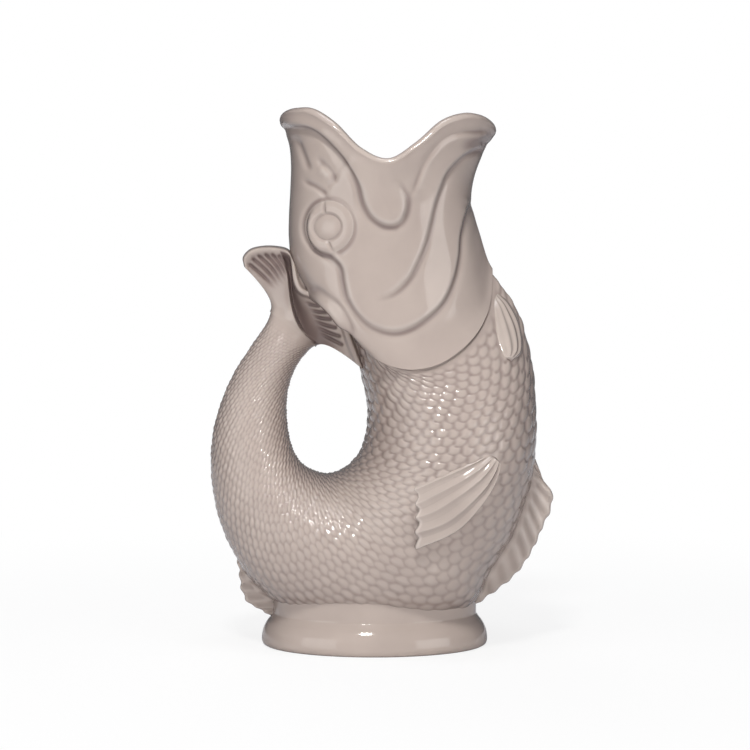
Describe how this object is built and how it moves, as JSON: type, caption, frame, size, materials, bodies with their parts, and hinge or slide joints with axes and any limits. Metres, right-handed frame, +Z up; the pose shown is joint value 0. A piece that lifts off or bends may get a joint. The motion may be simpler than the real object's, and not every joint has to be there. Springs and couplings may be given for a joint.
{
  "type": "gurgle jug",
  "caption": "Fish-shaped glazed pottery jug on an oval foot: the open mouth pours, and the hollow tail curls up to the nape as the handle.",
  "frame": {"origin": "on the table, under the middle of the jug's box", "axes": "+Z up, +X towards the throat and belly, which face where the jug pours, -X towards the tail handle, the fish's right side towards -Y"},
  "size_m": [0.1602, 0.11, 0.2499],
  "materials": {
    "glaze": "gloss",
    "glaze_foot": "gloss",
    "glaze_fins": "gloss"
  },
  "bodies": {
    "root": {"head": "glaze", "trunk": "glaze", "tail": "glaze", "foot": "glaze_foot", "tail_fin": "glaze_fins", "belly_fin": "glaze_fins", "rear_fin": "glaze_fins", "pectoral_fin_left": "glaze_fins", "pectoral_fin_right": "glaze_fins", "flank_fin_left": "glaze_fins", "flank_fin_right": "glaze_fins", "eye_left": "glaze", "eye_right": "glaze"}
  },
  "joints": []
}
